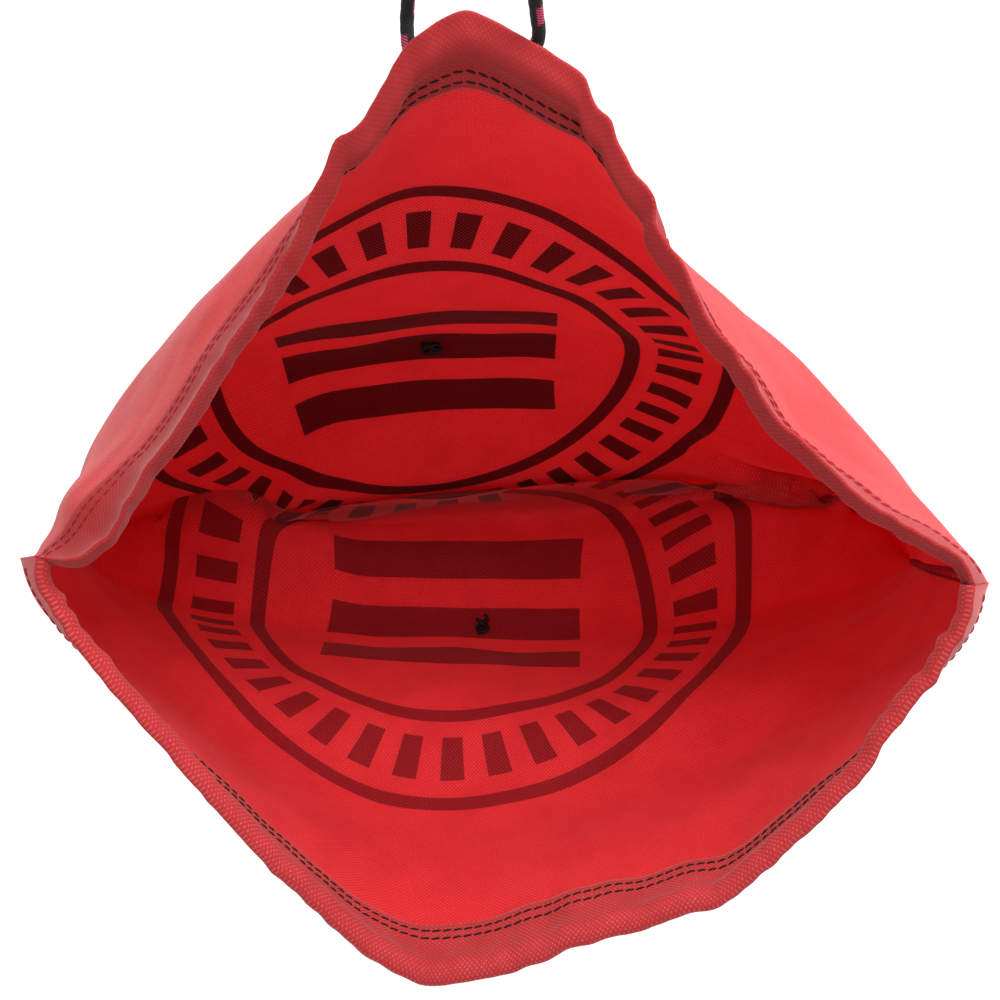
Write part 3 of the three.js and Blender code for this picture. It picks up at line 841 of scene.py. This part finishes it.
def buttonhole_paths(middle, outwards):
    """Close stitches all round an exit, and the ridge their loops make at its edge."""
    a = unit(np.cross(outwards, [0.2, 0.1, 1.0]))
    b = np.cross(outwards, a)
    inner, outer = EXIT_RADIUS - 0.2 * MM, EXIT_RADIUS + 2.2 * MM
    paths = []
    for angle in np.linspace(0, 2 * math.pi, 40, endpoint=False):
        way = a * math.cos(angle) + b * math.sin(angle)
        paths.append(np.array([
            middle + way * inner - outwards * 0.4 * MM, middle + way * inner + outwards * 0.5 * MM,
            middle + way * (inner + outer) / 2 + outwards * 0.75 * MM,
            middle + way * outer + outwards * 0.5 * MM, middle + way * outer - outwards * 0.3 * MM]))
    return paths


for (s, place), name in zip(EXITS, ("left", "right")):
    outwards = SACK_TURN @ -(on_cloth(BACK, s, CORD_FROM_FOLD[BACK], 1.0) - place)
    hole = tubes_object(f"{name}_buttonhole", buttonhole_paths(to_row(place), unit(outwards)),
                        0.32 * MM, 6, black_thread)
    bend_with_cloth(hole)
    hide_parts(f"{name}_exit_buttonhole")

# ------------------------------------------------------------------ tag knots


def tag_knot(name, node, side, s, v, size, tails):
    """A few tight turns of thread pulled into a lump, with its cut ends."""
    middle = on_cloth(side, s, v, 3.4 * MM)
    t = np.linspace(0, 2 * math.pi, 90)
    turns = np.column_stack([np.sin(3 * t) * (1 + 0.3 * np.cos(2 * t)), np.sin(2 * t + 0.6),
                             0.7 * np.cos(3 * t)]) * np.array(size)
    paths = [to_row(middle + turns)]
    for tail in tails:
        paths.append(to_row(middle + along_curve(np.array(tail) * MM, 0.5 * MM)))
    knot = tubes_object(name, paths, 0.95 * MM, 8, black_thread)
    bend_with_cloth(knot)
    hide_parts(node)


tag_knot("back_tag_thread", "back_tag_knot", BACK, -0.12, 250 * MM, (3.4 * MM, 2.2 * MM, 1.6 * MM),
         [[(2, 0, 0), (4.5, -0.6, 0.5), (5.5, 0.8, 0.5)], [(-2, 0, 0), (-4, 1.2, 0.2)]])
tag_knot("front_tag_thread", "front_tag_knot", FRONT, -0.03, 248 * MM, (2.4 * MM, 3.2 * MM, 1.6 * MM),
         [[(0.5, 2, 0), (2.2, 4.2, 0.6), (1.2, 6, 0.9)], [(-0.5, -2, 0), (-2.4, -4.6, 0.4)]])

# ------------------------------------------------------------------ drawstring


def braided(points):
    """Radius of each place round the cord: crossing strands stand up in a lattice."""
    far = np.concatenate([[0], np.cumsum(np.linalg.norm(np.diff(points, axis=0), axis=1))])
    angle = np.arange(CORD_SIDES) / CORD_SIDES * BRAID_STRANDS
    go = far[:, None] * BRAID_STRANDS / BRAID_PITCH
    ridge = np.abs(np.sin(math.pi * (angle + go)) * np.sin(math.pi * (angle - go)))
    return CORD_RADIUS * (0.93 + 0.1 * ridge)


def cord_object(name, paths):
    made = tubes_object(name, paths, braided, CORD_SIDES, braid)
    return made


def hem_run(side, start, stop):
    s = np.linspace(start, stop, round(abs(stop - start) * FLAT_WIDTH / 2 / (2 * MM)))
    pucker = hem_pucker(side, s) * 0.5
    return to_row(on_cloth(side, s, np.full(len(s), CORD_FROM_FOLD[side]), CORD_INWARDS + pucker))


for name, side, start, stop in (
    ("drawstring_back_left_run", BACK, -CORD_END, EXITS[0][0]),
    ("drawstring_back_right_run", BACK, EXITS[1][0], CORD_END),
    ("drawstring_front_run", FRONT, -CORD_END, CORD_END),
):
    run = cord_object(name.replace("drawstring", "cord"), [hem_run(side, start, stop)])
    bend_with_cloth(run)
    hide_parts(name)

KNOT_HEIGHT = 15 * MM
KNOT_WIDTH = 16 * MM


def knot_paths():
    """An overhand knot drawn tight, and the two cut ends that stand out of it."""
    t = np.linspace(0, 2 * math.pi, 150)
    reach = (KNOT_WIDTH / 2 - CORD_RADIUS) / 3
    turns = np.column_stack([
        (np.sin(t) + 2 * np.sin(2 * t)) * reach,
        -np.sin(3 * t) * 2.6 * MM,
        (np.cos(t) - 2 * np.cos(2 * t)) * reach * 0.95 + KNOT_HEIGHT / 2 + 0.6 * MM,
    ])
    tails = [[(-2.2, 0, 8), (-2.8, 0, 12), (-4, 0.8, 18), (-6, 1.6, 24), (-9, 2.4, 30),
              (-13, 3, 35), (-18, 3.4, 39)],
             [(2.2, 0, 8), (2.8, 0, 12), (3.8, -0.8, 18), (5.5, -1.6, 24), (8, -2.4, 31),
              (11, -3, 37), (15, -3.4, 42)]]
    ends = [[(-3.4, 0, -0.3), (-2.6, 0.4, 5)], [(3.4, 0, -0.3), (2.6, -0.4, 5)]]
    return [turns] + [along_curve(np.array(p) * MM, 1 * MM) for p in tails + ends]


knot = cord_object("overhand_knot", knot_paths())
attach(knot, "drawstring")
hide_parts("end_knot")

# Each leg runs out of its exit, turns up over the rim and goes straight to the knot. The points are
# eight of the CAD's twenty, which began as a scratch program's printout.
LEG_ROUTES = {
    "left": [(-17.8, 1.3, -199.6), (-19.8, 4, -198.8), (-22, 7, -195.8), (-22.8, 8.5, -191),
             (-21.4, 8.3, -178), (-15.4, 5.7, -120), (-7.7, 2, -45), (-3.4, 0, -0.3)],
    "right": [(17.7, -4.6, -204.7), (20, -2.2, -203.6), (22.3, 0.5, -200.2), (23.1, 1.9, -195.4),
              (21.7, 2, -182.5), (15.6, 1.5, -122.5), (7.7, 0.5, -46), (3.4, 0, -0.3)],
}
EXIT_PULL = np.array([1, 0.75, 0.35, 0, 0, 0, 0, 0])  # how much of each place follows the exit
legs = {}
for (name, route), (s, _) in zip(LEG_ROUTES.items(), EXITS):
    route = np.array(route) * MM
    start = to_row(on_cloth(BACK, s, CORD_FROM_FOLD[BACK], 1.4 * MM))
    path = along_curve(route + EXIT_PULL[:, None] * (start - route[0]), 1 * MM)
    legs[name] = cord_object(f"cord_{name}_leg", [path])
    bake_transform(legs[name])
    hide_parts(f"drawstring_{name}_leg")

# ------------------------------------------------------------------ floor and light

FLOOR_BELOW = 0.5
bpy.context.scene.view_settings.view_transform = "Standard"
floor_z = cad_box[0][2] - FLOOR_BELOW
floor = mesh_object("floor", [(-6, -6, floor_z), (6, -6, floor_z), (6, 6, floor_z), (-6, 6, floor_z)],
                    [(0, 1, 2, 3)], floor_material())

world = bpy.data.worlds.new("studio")
bpy.context.scene.world = world
world.use_nodes = True
world.node_tree.nodes["Background"].inputs[0].default_value = (1, 1, 1, 1)
world.node_tree.nodes["Background"].inputs[1].default_value = 0.85


def area_light(name, place, target, size, power):
    light = bpy.data.objects.new(name, bpy.data.lights.new(name, "AREA"))
    light.data.size = size
    light.data.energy = power
    light.location = to_row(place)
    way = Vector(to_row(target)) - light.location
    light.rotation_euler = way.to_track_quat("-Z", "Y").to_euler()
    bpy.context.collection.objects.link(light)


area_light("key from the upper right", (0.7, 0.95, 0.25), (0, 0.03, -0.1), 0.6, 14.5)
area_light("fill from over the camera", (0.15, 0.75, 0.8), (0, -0.12, -0.12), 0.6, 9)
